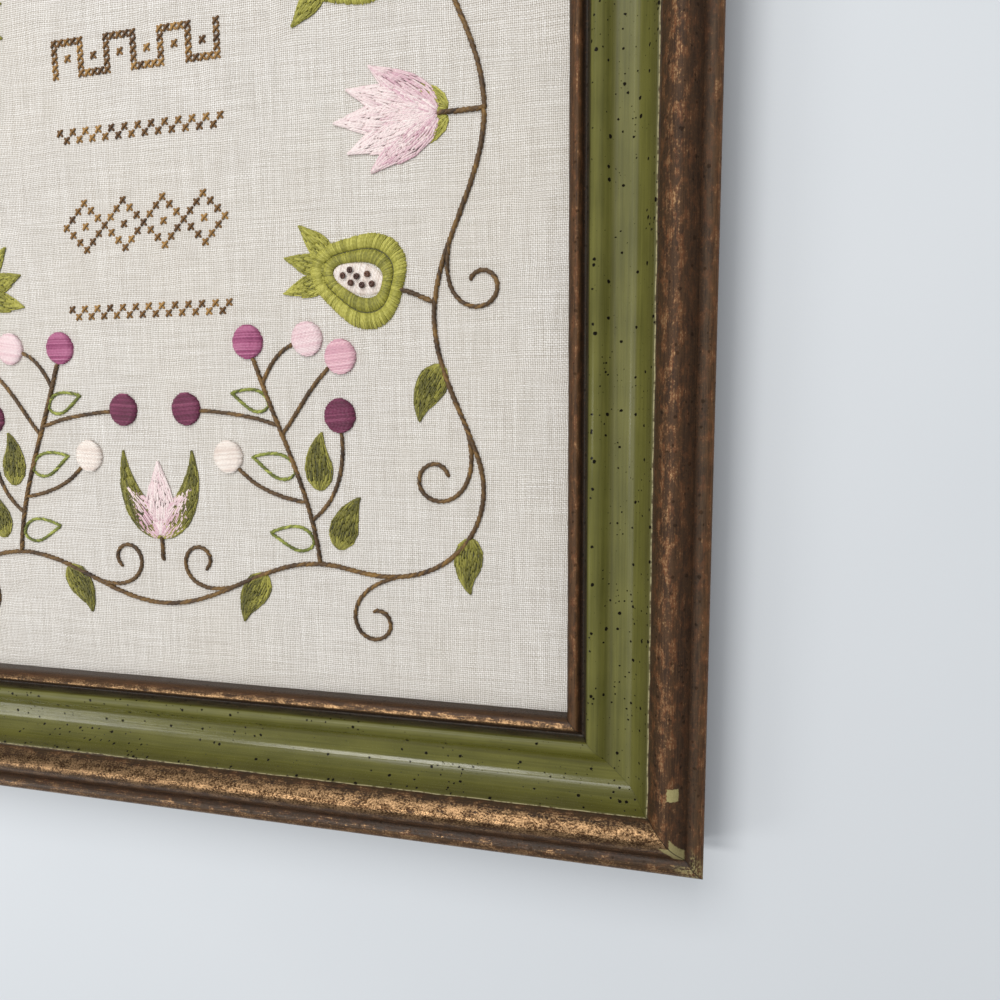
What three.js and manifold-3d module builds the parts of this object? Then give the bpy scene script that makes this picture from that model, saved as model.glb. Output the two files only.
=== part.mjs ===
// A framed needlework picture, lying on its back: four mitred moulding rails round a stretched,
// embroidered linen sheet and the board behind it. Millimetres, +Z out of the picture's face,
// +Y to the picture's top, origin at the centre of the back.

import * as THREE from 'three';
import { mergeVertices } from 'three/addons/utils/BufferGeometryUtils.js';
import Module from 'manifold-3d';

const wasm = await Module();
wasm.setup();

// Driving sizes of the frame
const SIGHT_WIDTH = 280;
const SIGHT_HEIGHT = 356;
const MOULDING_WIDTH = 40;
const SEAT_GAP = 0.3;

// Heights of the moulding above the back
const OUTER_EDGE = 21;
const RIDGE_TOP = 24.6;
const SIGHT_EDGE = 11;
const LIP_BACK = 8;
const REBATE_WIDTH = 7;

// The sheet and the board that fill the rebate
const FIT_ALLOWANCE = 1;
const LINEN_THICKNESS = 1;
const BOARD_THICKNESS = 3;
const LINEN_TOP = LIP_BACK - SEAT_GAP;
const LINEN_BACK = LINEN_TOP - LINEN_THICKNESS;
const BOARD_BACK = LINEN_BACK - SEAT_GAP - BOARD_THICKNESS;
const PANEL_WIDTH = SIGHT_WIDTH + 2 * (REBATE_WIDTH - FIT_ALLOWANCE);
const PANEL_HEIGHT = SIGHT_HEIGHT + 2 * (REBATE_WIDTH - FIT_ALLOWANCE);

// The vine that waves round the picture: half sizes of its middle line, corner radius and waves
const VINE = { halfWidth: 107, halfHeight: 143, corner: 40, wave: 8, waves: 8, width: 1.8 };
const VINE_STRAIGHT = VINE.halfHeight - VINE.corner;
const VINE_ARC = (VINE.corner * Math.PI) / 2;
const VINE_LENGTH = 4 * (VINE.halfWidth - VINE.corner + VINE_STRAIGHT + VINE_ARC);
const VINE_STEPS = 96;

// How far each kind of embroidery stands above the linen
const RELIEF = { vine: 0.8, stem: 0.7, leaf: 0.7, petal: 0.8, fruit: 1.2, berry: 1.2 };
const STITCH_ROOT = 0.5;
const STITCH_SLOPE = 0.5;
const STEM_WIDTH = 1.7;
const TENDRIL_STEPS = 11;
const BERRY_RADIUS = 5.3;

// Curled tendrils of one quarter: place along the vine, side, length and final curl (1/mm)
const TENDRIL_LAUNCH = 0.2;
const TENDRILS = [
  { along: 36, side: 1, length: 46, curl: 0.26 },
  { along: 92, side: -1, length: 52, curl: 0.24 },
  { along: 146, side: 1, length: 50, curl: 0.25 },
  { along: 206, side: -1, length: 42, curl: 0.28 },
];

// Every leaf is this much as wide as it is long; a lower belly is a rounder base
const LEAF_FULLNESS = 0.52;
const LEAF_BELLY = 0.65;

// Leaves on the vine of one quarter: place along it, angle from it and length
const VINE_LEAF_BEND = -0.05;
const VINE_LEAF_BEND_END = 0.09;
const VINE_LEAVES = [
  { along: 72, turn: -38, length: 19 },
  { along: 122, turn: 36, length: 18 },
  { along: 194, turn: 44, length: 19 },
];

// The berry spray of one quarter, with its branches and leaves by place on its main stem.
// A solid leaf stands clear of the stem by a gap taken at its away angle
const SPRAY = { along: 174, heading: 94, length: 70, bend: 0.013, bendEnd: -0.006 };
const SPRAY_BRANCHES = [
  { at: 0.22, heading: 30, length: 32, bend: 0.05, bendEnd: 0.02 },
  { at: 0.29, heading: 172, length: 27, bend: -0.01, bendEnd: -0.04 },
  { at: 0.64, heading: 48, length: 27, bend: 0.02, bendEnd: -0.03 },
  { at: 0.65, heading: 158, length: 29, bend: 0.02, bendEnd: 0 },
  { at: 0.88, heading: 62, length: 17, bend: 0, bendEnd: -0.09 },
];
const SPRAY_LEAF_BEND = 0.05;
const SPRAY_LEAF_BEND_END = -0.09;
const SPRAY_LEAVES = [
  { at: 0, away: 40, gap: 8, heading: 62, length: 19 },
  { at: 0.34, away: 12, gap: 5.6, heading: 84, length: 19 },
];
const OPEN_LEAF_STEM = 1.5;
const OPEN_LEAF_BEND = 0.02;
const OPEN_LEAVES = [
  { at: 0.08, heading: 158, length: 16 },
  { at: 0.41, heading: 150, length: 16 },
  { at: 0.75, heading: 152, length: 14 },
];
const OPEN_LEAF_LINE = 1.5;

// The fruit of one quarter, its crown of sepals and its pale window
const FRUIT = { along: 54, heading: 150, stalk: 12, bend: 0.02, centre: 13, halfLength: 15.5, halfWidth: 14 };
const FRUIT_WINDOW = { shift: 0.5, halfLength: 8.2, halfWidth: 5 };
const FRUIT_LOBE = 0.1;
const SEPALS = { count: 3, start: 11.5, spread: 0.3, fan: 0.5, length: 15, width: 7 };

// A bloom: petals from the outside in, by turn from its axis; one lies at each side's middle
const BLOOM_FAN = 0.62;
const SIDE_BLOOM_STALK = 14;
const SIDE_PETALS = [
  { turn: -1, length: 26, width: 11 },
  { turn: 1, length: 26, width: 11 },
  { turn: -0.5, length: 30, width: 12 },
  { turn: 0.5, length: 30, width: 12 },
  { turn: 0, length: 33, width: 12 },
];
const SIDE_SEPALS = { ahead: 3, aside: 1, turn: 0.66, length: 20, width: 7.5, bend: 0.035 };
const END_BLOOM = { base: 128, stalk: 8, leafTurn: 0.95, leafLength: 34, leafWidth: 9, leafBend: 0.03 };
const END_PETALS = [
  { turn: -1, length: 22, width: 10 },
  { turn: 1, length: 22, width: 10 },
  { turn: 0, length: 26, width: 12 },
];

// Materials
const WOOD_FINISH = new THREE.MeshStandardMaterial({ color: 0x5f6331, roughness: 0.38, metalness: 0.1 });
const LINEN_FINISH = new THREE.MeshStandardMaterial({ color: 0xd3cbbf, roughness: 0.95, metalness: 0 });
const BOARD_FINISH = new THREE.MeshStandardMaterial({ color: 0xa89678, roughness: 0.9, metalness: 0 });

const radians = THREE.MathUtils.degToRad;

function named(name, geometry, material) {
  const mesh = new THREE.Mesh(geometry, material);
  mesh.name = name;
  return mesh;
}

// The moulding's section: x runs outward from the sight edge, y up from the back
function mouldingSection() {
  const section = new THREE.Shape();
  section.moveTo(0, LIP_BACK);
  section.lineTo(REBATE_WIDTH, LIP_BACK);
  section.lineTo(REBATE_WIDTH, 0);
  section.lineTo(MOULDING_WIDTH, 0);
  section.lineTo(MOULDING_WIDTH, OUTER_EDGE);
  // Outer bead and the groove inside it
  section.bezierCurveTo(39.8, 22.7, 36.6, 23.2, 35.2, 21.1);
  // Ridge, its steep inner side and the thin fillet at its foot
  section.bezierCurveTo(33.4, 22.3, 31.8, RIDGE_TOP, 29.3, RIDGE_TOP);
  section.bezierCurveTo(27.2, RIDGE_TOP, 26.2, 23, 24.8, 20.4);
  section.lineTo(23.7, 20.5);
  // Painted cove down to a crease, the hollow beside it and the low convex band
  section.bezierCurveTo(22.2, 16.9, 20.4, 14.8, 18.6, 13.35);
  section.bezierCurveTo(16.8, 12.7, 14.5, 12.5, 12.9, 12.6);
  section.bezierCurveTo(10.8, 12.75, 9.6, 16.5, 6.5, 15.2);
  // Dark groove and the bead at the sight edge
  section.bezierCurveTo(5.9, 14.8, 5.7, 12.2, 4.8, 12.2);
  section.bezierCurveTo(3.7, 12.3, 3.5, 14.75, 2.3, 14.65);
  section.bezierCurveTo(0.9, 14.5, 0, 13.4, 0, SIGHT_EDGE);
  section.closePath();
  return section;
}

// One rail along X, its sight edge on the X axis and its outer edge towards -Y, with mitred ends
function railGeometry(sightLength) {
  const geometry = new THREE.ExtrudeGeometry(mouldingSection(), {
    depth: sightLength,
    bevelEnabled: false,
    curveSegments: 7,
  });
  const mitreSetback = (SEAT_GAP / 2) * Math.SQRT2;
  const place = geometry.getAttribute('position');
  for (let i = 0; i < place.count; i += 1) {
    const outward = place.getX(i);
    const up = place.getY(i);
    const end = place.getZ(i) > sightLength / 2 ? -1 : 1;
    const along = end * (sightLength / 2 + outward - mitreSetback);
    place.setXYZ(i, along, -outward, up);
  }
  geometry.computeVertexNormals();
  return geometry;
}

// A rail turned round the picture: turn 0 is the bottom, and each turn more is 90 degrees on
function rail(name, turns) {
  const isUpright = turns % 2 === 1;
  const length = isUpright ? SIGHT_HEIGHT : SIGHT_WIDTH;
  const reach = (isUpright ? SIGHT_WIDTH : SIGHT_HEIGHT) / 2;
  const mesh = named(name, railGeometry(length), WOOD_FINISH);
  mesh.position.y = -reach;
  const holder = new THREE.Group();
  holder.add(mesh);
  holder.rotation.z = (turns * Math.PI) / 2;
  return holder;
}

// A point of the vine and its heading, by distance from the middle of the right side downwards
function vinePoint(along) {
  const quarter = VINE_LENGTH / 4;
  const turn = Math.floor((along % VINE_LENGTH) / quarter);
  const part = (along % VINE_LENGTH) - turn * quarter;
  const fromSide = turn % 2 === 1 ? quarter - part : part;
  let x = VINE.halfWidth;
  let y = -fromSide;
  let heading = -Math.PI / 2;
  if (fromSide > VINE_STRAIGHT + VINE_ARC) {
    x = VINE.halfWidth - VINE.corner - (fromSide - VINE_STRAIGHT - VINE_ARC);
    y = -VINE.halfHeight;
    heading = -Math.PI;
  } else if (fromSide > VINE_STRAIGHT) {
    const angle = (fromSide - VINE_STRAIGHT) / VINE.corner;
    x = VINE.halfWidth - VINE.corner + VINE.corner * Math.cos(angle);
    y = -VINE_STRAIGHT - VINE.corner * Math.sin(angle);
    heading = -Math.PI / 2 - angle;
  }
  const pace = (2 * Math.PI * VINE.waves) / VINE_LENGTH;
  const wave = VINE.wave * Math.cos(pace * fromSide);
  const slope = -VINE.wave * pace * Math.sin(pace * fromSide);
  x -= Math.sin(heading) * wave;
  y += Math.cos(heading) * wave;
  return {
    x: turn === 1 || turn === 2 ? -x : x,
    y: turn === 2 || turn === 3 ? -y : y,
    heading: heading + Math.atan(slope),
  };
}

// A line from a start and heading whose bend (1/mm) changes evenly from bend to bendEnd
function run(start, heading, length, bend, bendEnd, steps) {
  const points = [new THREE.Vector2(start.x, start.y)];
  const step = length / steps;
  let angle = heading;
  for (let i = 0; i < steps; i += 1) {
    angle += (bend + ((bendEnd - bend) * (i + 0.5)) / steps) * step;
    const last = points[i];
    points.push(new THREE.Vector2(last.x + Math.cos(angle) * step, last.y + Math.sin(angle) * step));
  }
  return { points, heading: angle, end: points[steps] };
}

function ahead(point, heading, distance) {
  return new THREE.Vector2(point.x + Math.cos(heading) * distance, point.y + Math.sin(heading) * distance);
}

// Each point of a line moved sideways by half of the width given for it
function sideways(points, widthAt, side) {
  return points.map((point, i) => {
    const before = points[Math.max(i - 1, 0)];
    const after = points[Math.min(i + 1, points.length - 1)];
    const angle = Math.atan2(after.y - before.y, after.x - before.x) + (side * Math.PI) / 2;
    return ahead(point, angle, widthAt(i) / 2);
  });
}

function stripOutline(points, width) {
  const left = sideways(points, () => width, 1);
  const right = sideways(points, () => width, -1);
  return left.concat(right.reverse());
}

// A leaf or petal: pointed at both ends, its belly nearer to its base
function leafOutline(start, heading, length, width, bend, bendEnd) {
  const steps = 5;
  const middle = run(start, heading, length, bend, bendEnd, steps).points;
  const widthAt = (i) => width * Math.sin(Math.PI * (i / steps) ** LEAF_BELLY);
  const left = sideways(middle, widthAt, 1);
  const right = sideways(middle, widthAt, -1);
  return left.concat(right.slice(1, -1).reverse());
}

function fruitOutline(centre, heading, halfLength, halfWidth, points) {
  const outline = [];
  for (let i = 0; i < points; i += 1) {
    const angle = (2 * Math.PI * i) / points;
    const reach = 1 + FRUIT_LOBE * Math.cos(3 * angle);
    const along = new THREE.Vector2(halfLength * reach * Math.cos(angle), halfWidth * reach * Math.sin(angle));
    outline.push(along.rotateAround(new THREE.Vector2(), heading).add(centre));
  }
  return outline;
}

function toSolid(geometry) {
  const bare = geometry.clone();
  bare.deleteAttribute('normal');
  bare.deleteAttribute('uv');
  const merged = mergeVertices(bare, 1e-4);
  const mesh = new wasm.Mesh({
    numProp: 3,
    vertProperties: new Float32Array(merged.getAttribute('position').array),
    triVerts: new Uint32Array(merged.getIndex().array),
  });
  return new wasm.Manifold(mesh);
}

function fromSolid(solid) {
  const mesh = solid.getMesh();
  const geometry = new THREE.BufferGeometry();
  geometry.setAttribute('position', new THREE.BufferAttribute(mesh.vertProperties, 3));
  geometry.setIndex(new THREE.BufferAttribute(mesh.triVerts, 1));
  geometry.computeVertexNormals();
  return geometry;
}

// A raised shape with sloping sides, its foot rooted in the linen
function raised(outline, height, hole) {
  const wallTop = 0.1;
  const shape = new THREE.Shape(outline);
  if (hole) {
    shape.holes.push(new THREE.Path(hole));
  }
  const geometry = new THREE.ExtrudeGeometry(shape, {
    depth: wallTop,
    bevelThickness: height + wallTop,
    bevelSize: STITCH_SLOPE,
    bevelOffset: -STITCH_SLOPE,
    bevelSegments: 1,
    curveSegments: 1,
  });
  geometry.translate(0, 0, LINEN_TOP - 2 * wallTop);
  const place = geometry.getAttribute('position');
  for (let i = 0; i < place.count; i += 1) {
    place.setZ(i, Math.max(place.getZ(i), LINEN_TOP - STITCH_ROOT));
  }
  return toSolid(geometry);
}

// A berry: a low dome with its foot in the linen
function berry(centre) {
  const sides = 12;
  const foot = LINEN_TOP - STITCH_ROOT;
  const top = LINEN_TOP + RELIEF.berry;
  const profile = [
    new THREE.Vector2(0, foot),
    new THREE.Vector2(BERRY_RADIUS, foot),
    new THREE.Vector2(BERRY_RADIUS, LINEN_TOP + 0.2),
    new THREE.Vector2(BERRY_RADIUS * 0.75, LINEN_TOP + RELIEF.berry * 0.8),
    new THREE.Vector2(0, top),
  ];
  const geometry = new THREE.LatheGeometry(profile, sides);
  geometry.rotateX(Math.PI / 2);
  geometry.translate(centre.x, centre.y, 0);
  return toSolid(geometry);
}

// The whole vine as one closed band, taken counterclockwise
function vineForm() {
  const ring = [];
  for (let i = VINE_STEPS; i > 0; i -= 1) {
    ring.push(vinePoint((VINE_LENGTH * i) / VINE_STEPS));
  }
  const offset = (side) =>
    ring.map((point, i) => {
      const before = ring[(i + VINE_STEPS - 1) % VINE_STEPS];
      const after = ring[(i + 1) % VINE_STEPS];
      const angle = Math.atan2(after.y - before.y, after.x - before.x) + (side * Math.PI) / 2;
      return ahead(point, angle, VINE.width / 2);
    });
  return raised(offset(-1), RELIEF.vine, offset(1));
}

function tendrilForms() {
  return TENDRILS.map((tendril) => {
    const root = vinePoint(tendril.along);
    const heading = root.heading + tendril.side * TENDRIL_LAUNCH;
    const line = run(root, heading, tendril.length, 0, tendril.side * tendril.curl, TENDRIL_STEPS);
    return raised(stripOutline(line.points, STEM_WIDTH), RELIEF.stem);
  });
}

function vineLeafForms() {
  return VINE_LEAVES.map((leaf) => {
    const root = vinePoint(leaf.along);
    const heading = root.heading + radians(leaf.turn);
    const width = leaf.length * LEAF_FULLNESS;
    const outline = leafOutline(root, heading, leaf.length, width, VINE_LEAF_BEND, VINE_LEAF_BEND_END);
    return raised(outline, RELIEF.leaf);
  });
}

function sprayForms() {
  const steps = 24;
  const root = vinePoint(SPRAY.along);
  const stem = run(root, radians(SPRAY.heading), SPRAY.length, SPRAY.bend, SPRAY.bendEnd, steps);
  const coarse = run(root, radians(SPRAY.heading), SPRAY.length, SPRAY.bend, SPRAY.bendEnd, 6);
  const forms = [
    raised(stripOutline(coarse.points, STEM_WIDTH), RELIEF.stem),
    berry(ahead(stem.end, stem.heading, BERRY_RADIUS)),
  ];
  for (const branch of SPRAY_BRANCHES) {
    const start = stem.points[Math.round(branch.at * steps)];
    const line = run(start, radians(branch.heading), branch.length, branch.bend, branch.bendEnd, 4);
    forms.push(raised(stripOutline(line.points, STEM_WIDTH), RELIEF.stem));
    forms.push(berry(ahead(line.end, line.heading, BERRY_RADIUS)));
  }
  for (const leaf of SPRAY_LEAVES) {
    const heading = radians(leaf.heading);
    const start = ahead(stem.points[Math.round(leaf.at * steps)], radians(leaf.away), leaf.gap);
    const width = leaf.length * LEAF_FULLNESS;
    const outline = leafOutline(start, heading, leaf.length, width, SPRAY_LEAF_BEND, SPRAY_LEAF_BEND_END);
    forms.push(raised(outline, RELIEF.leaf));
  }
  for (const leaf of OPEN_LEAVES) {
    forms.push(openLeaf(stem.points[Math.round(leaf.at * steps)], leaf));
  }
  return forms;
}

// A leaf of which only the outline is stitched
function openLeaf(node, leaf) {
  const heading = radians(leaf.heading);
  const start = ahead(node, heading, OPEN_LEAF_STEM);
  const bend = OPEN_LEAF_BEND;
  const width = leaf.length * LEAF_FULLNESS;
  const tipInset = 2 * OPEN_LEAF_LINE;
  const inside = ahead(start, heading, tipInset);
  const innerWidth = width - 2 * OPEN_LEAF_LINE;
  const outer = leafOutline(start, heading, leaf.length, width, bend, bend);
  const inner = leafOutline(inside, heading, leaf.length - 2 * tipInset, innerWidth, bend, bend);
  const cutDepth = 2 * (STITCH_ROOT + RELIEF.stem);
  const cutter = new THREE.ExtrudeGeometry(new THREE.Shape(inner), { depth: cutDepth, bevelEnabled: false });
  cutter.translate(0, 0, LINEN_TOP - cutDepth / 2);
  return raised(outer, RELIEF.stem).subtract(toSolid(cutter));
}

function fruitForms() {
  const root = vinePoint(FRUIT.along);
  const stalk = run(root, radians(FRUIT.heading), FRUIT.stalk, FRUIT.bend, FRUIT.bend, 2);
  const centre = ahead(stalk.end, stalk.heading, FRUIT.centre);
  const forms = [
    raised(stripOutline(stalk.points, STEM_WIDTH), RELIEF.stem),
    raised(
      fruitOutline(centre, stalk.heading, FRUIT.halfLength, FRUIT.halfWidth, 20),
      RELIEF.fruit,
      fruitOutline(
        ahead(centre, stalk.heading, FRUIT_WINDOW.shift),
        stalk.heading,
        FRUIT_WINDOW.halfLength,
        FRUIT_WINDOW.halfWidth,
        10,
      ),
    ),
  ];
  for (let i = 0; i < SEPALS.count; i += 1) {
    const place = i - (SEPALS.count - 1) / 2;
    const start = ahead(centre, stalk.heading + SEPALS.spread * place, SEPALS.start);
    const outline = leafOutline(start, stalk.heading + SEPALS.fan * place, SEPALS.length, SEPALS.width, 0, 0);
    forms.push(raised(outline, RELIEF.leaf));
  }
  return forms;
}

function petalForms(base, heading, petals) {
  return petals.map((petal) => {
    const outline = leafOutline(base, heading + BLOOM_FAN * petal.turn, petal.length, petal.width, 0, 0);
    return raised(outline, RELIEF.petal);
  });
}

function sideBloomForms() {
  const root = vinePoint(0);
  const stalk = run(root, Math.PI, SIDE_BLOOM_STALK, 0, 0, 1);
  const forms = [raised(stripOutline(stalk.points, STEM_WIDTH), RELIEF.stem)];
  for (const side of [-1, 1]) {
    const start = new THREE.Vector2(stalk.end.x + SIDE_SEPALS.ahead, side * SIDE_SEPALS.aside);
    const heading = Math.PI - side * SIDE_SEPALS.turn;
    const bend = side * SIDE_SEPALS.bend;
    const outline = leafOutline(start, heading, SIDE_SEPALS.length, SIDE_SEPALS.width, bend, bend);
    forms.push(raised(outline, RELIEF.leaf));
  }
  return forms.concat(petalForms(stalk.end, Math.PI, SIDE_PETALS));
}

function endBloomForms() {
  const base = new THREE.Vector2(0, -END_BLOOM.base);
  const upward = Math.PI / 2;
  const stalk = run(ahead(base, -upward, END_BLOOM.stalk), upward, END_BLOOM.stalk, 0, 0, 1);
  const forms = [raised(stripOutline(stalk.points, STEM_WIDTH), RELIEF.stem)];
  for (const side of [-1, 1]) {
    const heading = upward - side * END_BLOOM.leafTurn;
    const bend = side * END_BLOOM.leafBend;
    const outline = leafOutline(base, heading, END_BLOOM.leafLength, END_BLOOM.leafWidth, bend, bend);
    forms.push(raised(outline, RELIEF.leaf));
  }
  return forms.concat(petalForms(base, upward, END_PETALS));
}

// The linen with its embroidery raised: each quarter's forms are mirrored to the other three
function linenGeometry() {
  const sheet = new THREE.BoxGeometry(PANEL_WIDTH, PANEL_HEIGHT, LINEN_THICKNESS);
  sheet.translate(0, 0, LINEN_BACK + LINEN_THICKNESS / 2);
  let solid = toSolid(sheet).add(vineForm());
  const quarter = [...tendrilForms(), ...vineLeafForms(), ...sprayForms(), ...fruitForms()];
  for (const form of quarter) {
    const pair = form.add(form.mirror([1, 0, 0]));
    solid = solid.add(pair).add(pair.mirror([0, 1, 0]));
  }
  for (const form of sideBloomForms()) {
    solid = solid.add(form).add(form.mirror([1, 0, 0]));
  }
  for (const form of endBloomForms()) {
    solid = solid.add(form).add(form.mirror([0, 1, 0]));
  }
  return fromSolid(solid);
}

function boardGeometry() {
  const board = new THREE.BoxGeometry(PANEL_WIDTH, PANEL_HEIGHT, BOARD_THICKNESS);
  board.translate(0, 0, BOARD_BACK + BOARD_THICKNESS / 2);
  return board;
}

const picture = new THREE.Group();
picture.add(rail('rail_bottom', 0));
picture.add(rail('rail_right', 1));
picture.add(rail('rail_top', 2));
picture.add(rail('rail_left', 3));
picture.add(named('linen', linenGeometry(), LINEN_FINISH));
picture.add(named('mounting_board', boardGeometry(), BOARD_FINISH));

export default picture;
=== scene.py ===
"""Looks of a framed crewel and cross stitch picture that lies on its back, face up.

The frame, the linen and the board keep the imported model's sizes, and every stitch is a thread of its own.
Lengths are in millimetres until a mesh is made; x is the picture's right, y its top, z out of its face.
"""

import math
import random
from types import SimpleNamespace as Named

import bpy
import numpy as np
from mathutils import Matrix, Vector


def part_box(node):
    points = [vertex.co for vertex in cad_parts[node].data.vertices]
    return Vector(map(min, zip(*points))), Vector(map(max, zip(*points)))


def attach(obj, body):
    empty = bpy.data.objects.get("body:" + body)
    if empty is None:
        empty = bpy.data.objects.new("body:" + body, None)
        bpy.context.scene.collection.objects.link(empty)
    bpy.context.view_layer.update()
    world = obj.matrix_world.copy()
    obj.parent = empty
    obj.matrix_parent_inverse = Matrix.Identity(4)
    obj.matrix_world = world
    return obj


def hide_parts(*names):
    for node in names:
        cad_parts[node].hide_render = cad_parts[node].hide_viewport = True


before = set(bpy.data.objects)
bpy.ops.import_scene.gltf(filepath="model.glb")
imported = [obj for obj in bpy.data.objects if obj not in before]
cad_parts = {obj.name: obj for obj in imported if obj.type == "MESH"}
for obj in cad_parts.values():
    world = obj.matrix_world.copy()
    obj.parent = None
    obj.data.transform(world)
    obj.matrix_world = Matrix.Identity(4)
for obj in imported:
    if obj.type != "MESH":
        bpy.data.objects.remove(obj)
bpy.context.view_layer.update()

MM = 0.001
BODY = "root"
TINY = 1e-9
dice = random.Random(11)

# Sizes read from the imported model
linen_low, linen_high = (np.array(corner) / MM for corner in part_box("linen"))
rail_low, rail_high = (np.array(corner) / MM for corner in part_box("rail_right"))
MOULDING_WIDTH = rail_high[0] - rail_low[0]
SIGHT_HALF_WIDTH = rail_low[0]
SIGHT_HALF_HEIGHT = rail_high[1] - MOULDING_WIDTH
LINEN_THICKNESS = 1.0
LINEN_BACK = linen_low[2]
LINEN_TOP = LINEN_BACK + LINEN_THICKNESS


def rows(names, *values):
    """A table: each row has the same named values."""
    return [Named(**dict(zip(names.split(), row))) for row in values]


def tone(red, green, blue):
    """A colour as the eye reads it, in 0 to 255 numbers, as linear red, green, blue and alpha."""
    def linear(value):
        share = value / 255
        return share / 12.92 if share <= 0.04045 else ((share + 0.055) / 1.055) ** 2.4
    return (linear(red), linear(green), linear(blue), 1.0)


def jitter(size):
    """A random number from -size to size."""
    return dice.uniform(-size, size)


def spun(x, y, angle):
    """A point turned round the origin."""
    return x * math.cos(angle) - y * math.sin(angle), x * math.sin(angle) + y * math.cos(angle)


def way(heading):
    """One millimetre in a heading."""
    return np.array([math.cos(heading), math.sin(heading)])


def ahead(point, heading, distance):
    return np.asarray(point) + way(heading) * distance


def run_along(points):
    """The distance along a line at each of its points."""
    return np.concatenate([[0], np.cumsum(np.linalg.norm(np.diff(points, axis=0), axis=1))])


# The moulding's section from the sight edge outwards: a row is a point to go straight to,
# or two control points and the end of a curve. Across, then up from the back
LIP_BACK = 8.0
SIGHT_EDGE = (0.0, LIP_BACK)
REBATE_WIDTH = 7.0
SIDE_HEIGHT = 21.0
FRONT = [
    [(0.0, 11.0)],
    [(0.0, 13.1), (1.1, 14.1), (2.4, 14.5)],
    [(3.6, 14.9), (3.8, 12.3), (4.8, 12.2)],
    [(5.7, 12.2), (5.9, 14.8), (6.5, 15.2)],
    [(9.6, 16.5), (10.8, 12.85), (12.9, 12.75)],
    [(14.2, 12.69), (15.8, 12.6), (17.2, 12.62)],
    [(17.6, 12.63), (17.8, 12.69), (18.0, 12.75)],
    [(18.9, 13.03)],
    [(20.6, 14.4), (22.2, 16.9), (23.7, 20.5)],
    [(24.8, 20.4)],
    [(26.3, 22.8), (27.6, 24.5), (29.8, 24.6)],
    [(32.1, 24.6), (33.5, 22.3), (35.2, 21.1)],
    [(36.6, 23.2), (39.8, 22.7), (40.0, SIDE_HEIGHT)],
]
CURVE_STEPS = 12
LINE_STEPS = 5


def front_points():
    """The visible face of the section, sampled finely."""
    points = [np.array(SIGHT_EDGE)]
    for row in FRONT:
        start = points[-1]
        end = np.array(row[-1])
        if len(row) == 1:
            for i in range(1, LINE_STEPS + 1):
                points.append(start + (end - start) * i / LINE_STEPS)
            continue
        first, second = np.array(row[0]), np.array(row[1])
        for i in range(1, CURVE_STEPS + 1):
            t = i / CURVE_STEPS
            near = start * (1 - t) ** 3 + 3 * first * t * (1 - t) ** 2
            points.append(near + 3 * second * t * t * (1 - t) + end * t ** 3)
    return np.array(points)


FACE = front_points()
FACE_RUN = run_along(FACE)
FACE_LENGTH = FACE_RUN[-1]


def run_at(across):
    """How far along the face's surface a place lies that is so far out from the sight edge."""
    return float(np.interp(across, FACE[:, 0], FACE_RUN))


# Node trees

def operation(name, swapped=False):
    """A method that adds one math node."""
    if swapped:
        return lambda self, other: self.nodes.math(name, other, self)
    return lambda self, other: self.nodes.math(name, self, other)


class Value:
    """A result inside a node tree: sums and products of it add math nodes."""

    __add__ = __radd__ = operation("ADD")
    __sub__ = operation("SUBTRACT")
    __rsub__ = operation("SUBTRACT", swapped=True)
    __mul__ = __rmul__ = operation("MULTIPLY")
    __truediv__ = operation("DIVIDE")

    def __init__(self, nodes, socket):
        self.nodes = nodes
        self.socket = socket

    def __abs__(self):
        return self.nodes.math("ABSOLUTE", self)


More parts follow.
